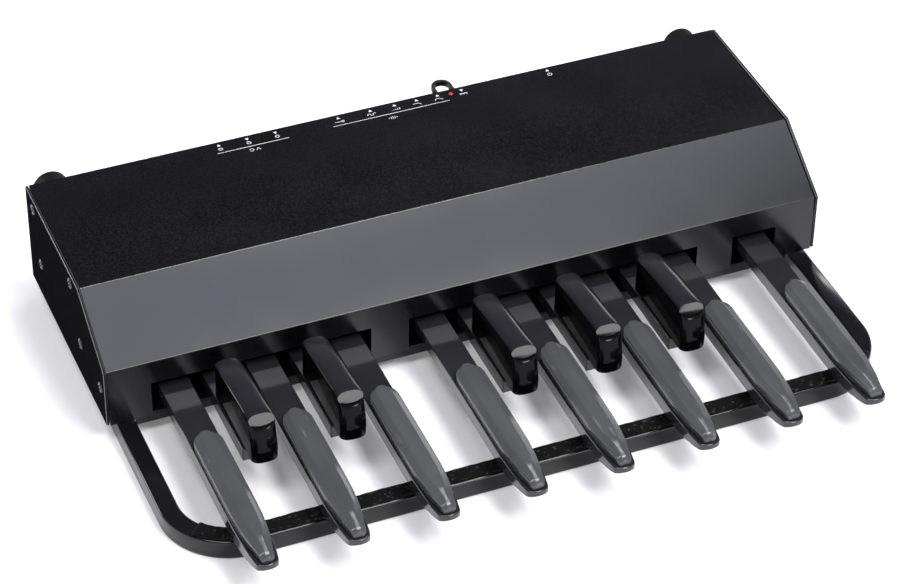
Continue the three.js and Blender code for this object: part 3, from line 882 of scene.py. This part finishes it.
def cap_section(half, bottom, shoulder, crown, roll, flat):
    """Half outline from the bottom edge to the centre line, with rolled shoulder, facet and crown."""
    steps = 4
    points = [(half, bottom)]
    for k in range(steps + 1):
        angle = math.radians(90 * k / steps)
        points.append((half - roll * (1 - math.cos(angle)), shoulder - roll * (1 - math.sin(angle))))
    for share, rise in ((0.5, 0.5), (0.2, 0.82), (0.05, 0.95)):
        points.append((half * (flat + (0.95 - flat) * share), shoulder + (crown - shoulder) * rise))
    points.append((half * flat * 0.8, crown))
    points.append((half * flat * 0.4, crown))
    return points


def round_off(share):
    """Drop of a quarter circle, from 1 at its start to 0 at its end."""
    return 1 - math.sqrt(1 - (1 - share) ** 2)


def natural_cap(note, x):
    """Grey grip: blunt tapered nose, faceted crown and a round rear end."""
    front = [CAP_FRONT + t for t in (0, 0.12, 0.3, 0.6, 1, 1.5, 2.1, 2.7, 3.2)]
    body = list(np.linspace(CAP_FRONT + 3.7, 117, 46))
    rear = [CAP_REAR - 13 * (1 - math.sin(math.radians(a))) for a in range(8, 90, 6)]
    rings = []
    for d in [*front, *body, *rear, CAP_REAR]:
        back = max(0, (d - CAP_TURN) / (CAP_REAR - CAP_TURN))
        half = max(cap_half(min(d, 120)) * (1 - back ** 2.6) ** 0.5, 0.05)
        ahead = min(1, (d - CAP_FRONT) / NOSE_ROLL)
        behind = min(1, (CAP_REAR - d) / REAR_ROLL)
        drop = NOSE_ROLL * (0.5 * (1 - ahead) + 0.5 * round_off(ahead)) + REAR_ROLL * round_off(behind)
        shoulder, crown = cap_shoulder(d) - drop, cap_crown(d) - drop
        roll = min(0.7, half * 0.4)
        right = cap_section(half, CAP_BOTTOM_Z, shoulder, crown, roll, cap_flat(d))
        left = [(-w, z) for w, z in reversed(right)]
        rings.append([(x + w, NOSE_Y + d, z) for w, z in [*right, *left]])
    loft(f"{note}_cap_grip", rings, grey_cap, f"pedal_{note}", [f"{note}_cap"])


# ---- sharp pedals; u runs from -1 to 1 across one ----

sharp_edge = table_lookup([
    (-100, 66), (-92, 67.6), (-88, 68.6), (-82, 69.1), (-72, 68.5),
    (-59, 67.3), (-46, 66.1), (-32, 64.3), (-22, 62.5), (-14, 60.7),
])
LEAN_START = 9  # height above the foot of the front where it starts to lean back
LEAN_SPAN = 18  # further height over which it leans back by SHARP_LEAN
SHARP_LEAN = 5.6
SHARP_BULGE = 7  # how far the front is rounded towards the sides, at its foot
SHARP_STEEP = 0.85  # faces that look up less than this get the dimmer gloss
CROWN = 1.5  # height of the top's centre line over its edges
CHAMFER_SLOPE = 0.923
SIDE_DRAFT = 0.55  # how far each side draws in from the foot up to DRAFT_Z
DRAFT_Z = 68


def crown_height(u, y):
    """Height of the top, which curves down along its length and to its edges."""
    return sharp_edge(y) + CROWN * (1 - u ** 4)


def chamfer_height(u, y):
    """Height of the slanted face between the front and the top, which swells a little."""
    swell = max(0, 1 - ((y + 88.75) / 3.25) ** 2)
    return 64.5 + CHAMFER_SLOPE * (y + 92) + 0.25 * u * u + 0.2 * swell


def crossing(function, low, high):
    """Where a rising function passes zero."""
    for _ in range(40):
        middle = (low + high) / 2
        if function(middle) < 0:
            low = middle
        else:
            high = middle
    return (low + high) / 2


def sharp_column(x, phi):
    """One lengthwise outline of a sharp: up the front, over the chamfer and the top, down the rear."""
    power = 2 / 2.6
    u = math.copysign(abs(math.sin(phi)) ** power, phi)
    inset = 1 - abs(math.cos(phi)) ** power

    def wall(z):
        rise = z - CAP_BOTTOM_Z
        lean = SHARP_LEAN * (max(rise - LEAN_START, 0) / LEAN_SPAN) ** 1.25
        return SHARP_FRONT_Y + lean + (SHARP_BULGE - 0.15 * rise) * inset

    def roof(y):
        return min(crown_height(u, y), chamfer_height(u, y))

    low_z = crossing(lambda z: z - roof(wall(z)), 50, 75)
    low_y = wall(low_z)
    crease = max(low_y, crossing(lambda y: chamfer_height(u, y) - crown_height(u, y), -96, -70))
    rear_y = SHARP_REAR_Y - 7 * inset
    rows = [(wall(z), z) for z in np.linspace(CAP_BOTTOM_Z, low_z, 12)]
    rows += [(y, chamfer_height(u, y)) for y in np.linspace(low_y, crease, 7)[1:-1]]
    rows += [(y, crown_height(u, y)) for y in np.linspace(crease, rear_y, 34)]
    rows += [(rear_y, z) for z in np.linspace(crown_height(u, rear_y), CAP_BOTTOM_Z, 7)[1:]]
    draft = SIDE_DRAFT / (DRAFT_Z - CAP_BOTTOM_Z)
    return [(x + u * (SHARP_HALF - draft * (z - CAP_BOTTOM_Z)), y, z) for y, z in rows]


def sharp_pedal(note, x):
    """Raised gloss cap on a plain channel."""
    body = f"pedal_{note}"
    columns = [sharp_column(x, math.radians(a)) for a in np.linspace(-90, 90, 25)]
    cap = loft(f"{note}_cap_block", columns, sharp_gloss, body, [f"{note}_cap"])
    # Steep faces take the copy that reflects less, which paints shade on them.
    cap.data.materials.append(sharp_shaded_gloss)
    for face in cap.data.polygons:
        if face.normal.z < SHARP_STEEP:
            face.material_index = 1
    bevel(cap, 0.45, 3, 34)
    front = -80
    outline = [(-ARM_HALF, front), (ARM_HALF, front), (ARM_HALF, ARM_TAIL_Y), (-ARM_HALF, ARM_TAIL_Y)]
    rings = [[(x + w, y, z) for w, y in outline] for z in (ARM_BOTTOM_Z, ARM_TOP_Z)]
    bevel(loft(f"{note}_arm_channel", rings, arm_paint, body, [f"{note}_arm"]), 0.8, 3, 40)


# ---- materials of the CAD nodes that stay ----


def finish_nodes():
    """Gives the inner parts and the sockets, which keep their CAD shape, their materials."""
    looks = {
        "rear_panel": housing_paint,
        "line_out_jack": plastic,
        "dc_inlet": plastic,
        "main_board": board,
        "sensor_board": board,
        "stop_rail": plate_paint,
        "stop_felt": felt,
        "lower_felt": felt,
        "pivot_rail": steel,
        "pivot_rod": steel,
    }
    for name in SOCKETS:
        looks[f"{name}_socket"] = plastic
    for name, mat in looks.items():
        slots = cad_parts[name].data.materials
        slots.clear()
        slots.append(mat)


# ---- studio ----


def camera():
    """Looks at the object from the left front and above."""
    azimuth, elevation = math.radians(CAMERA_AZIMUTH), math.radians(CAMERA_ELEVATION)
    roll = math.radians(CAMERA_ROLL)
    forward = Vector((
        math.sin(azimuth) * math.cos(elevation),
        math.cos(azimuth) * math.cos(elevation),
        -math.sin(elevation),
    ))
    right = forward.cross(Vector((0, 0, 1))).normalized()
    up = right.cross(forward)
    rolled_right = right * math.cos(roll) + up * math.sin(roll)
    rolled_up = up * math.cos(roll) - right * math.sin(roll)
    data = bpy.data.cameras.new("camera")
    data.sensor_width = 36
    data.lens = CAMERA_LENS
    data.shift_x, data.shift_y = CAMERA_SHIFT
    data.clip_end = 50
    obj = bpy.data.objects.new("camera", data)
    bpy.context.scene.collection.objects.link(obj)
    turn = Matrix((rolled_right, rolled_up, -forward)).transposed()
    obj.matrix_world = Matrix.Translation(CAMERA_PLACE) @ turn.to_4x4()
    bpy.context.scene.camera = obj


def softbox(name, direction, size_x, size_y, radiance, colour=(1, 1, 1)):
    """An area light that faces the object from a direction; radiance is what a mirror would show."""
    towards = Vector(direction).normalized()
    data = bpy.data.lights.new(name, "AREA")
    data.shape = "RECTANGLE"
    data.size = size_x
    data.size_y = size_y
    data.energy = radiance * math.pi * size_x * size_y
    data.color = colour
    obj = bpy.data.objects.new(name, data)
    bpy.context.scene.collection.objects.link(obj)
    obj.location = towards * STUDIO_RADIUS
    obj.rotation_mode = "QUATERNION"
    obj.rotation_quaternion = towards.to_track_quat("Z", "Y")


def sky():
    """Pale near the horizon like a studio sweep, dim above it."""
    world = bpy.data.worlds.new("studio")
    bpy.context.scene.world = world
    world.use_nodes = True
    tree = world.node_tree
    where = tree.nodes.new("ShaderNodeTexCoord")
    split = tree.nodes.new("ShaderNodeSeparateXYZ")
    link(tree, where.outputs["Generated"], split.inputs["Vector"])
    dim = grey(0.09, 1.3)
    stops = [(0, grey(0.95)), (0.25, grey(0.8)), (0.45, grey(0.32, 1.15)), (0.58, dim), (1, dim)]
    link(tree, ramp(tree, split.outputs["Z"], stops), tree.nodes["Background"].inputs["Color"])
    tree.nodes["Background"].inputs["Strength"].default_value = 1


def floor():
    """A wide level sheet under the object."""
    half = 8000
    points = [(-half, -half, 0), (half, -half, 0), (half, half, 0), (-half, half, 0)]
    mesh = bpy.data.meshes.new("floor")
    mesh.from_pydata([place(p) for p in points], [], [(0, 1, 2, 3)])
    mesh.materials.append(floor_paper())
    obj = bpy.data.objects.new("floor", mesh)
    bpy.context.scene.collection.objects.link(obj)


camera()
softbox("top_softbox", (0.24, -0.17, 0.95), 2.6, 1.9, 3.3, (0.86, 0.88, 1))
softbox("key_softbox", (-0.32, -0.25, 0.92), 1.5, 1.2, 12)
softbox("front_softbox", (0.25, -0.565, 0.785), 1.6, 1, 21)
softbox("front_lamp", (0.3, -0.94, 0.16), 0.5, 0.6, 16)
softbox("bend_strip", (0.2, 0.12, 0.97), 1.9, 0.5, 18)
softbox("nose_strip", (0.303, 0.43, 0.85), 0.8, 0.2, 34)
softbox("left_back_softbox", (-0.61, 0.7, 0.34), 1.6, 1, 11)
softbox("right_back_strip", (0.62, 0.7, 0.33), 1.2, 0.4, 5)
sky()
floor()

base_frame()
front_felt()
top_cover()
end_plate("left_end_plate", -1)
end_plate("right_end_plate", 1)
bottom_pan()
bumper("left_bumper", -1)
bumper("right_bumper", 1)
cord_hook()
power_lamp()
top_marks()
rear_controls()
for note, x in NATURALS.items():
    natural_arm(note, x)
    natural_cap(note, x)
for note, x in SHARPS.items():
    sharp_pedal(note, x)
finish_nodes()

bpy.context.scene.view_settings.view_transform = "Standard"
bpy.context.scene.view_settings.look = "None"
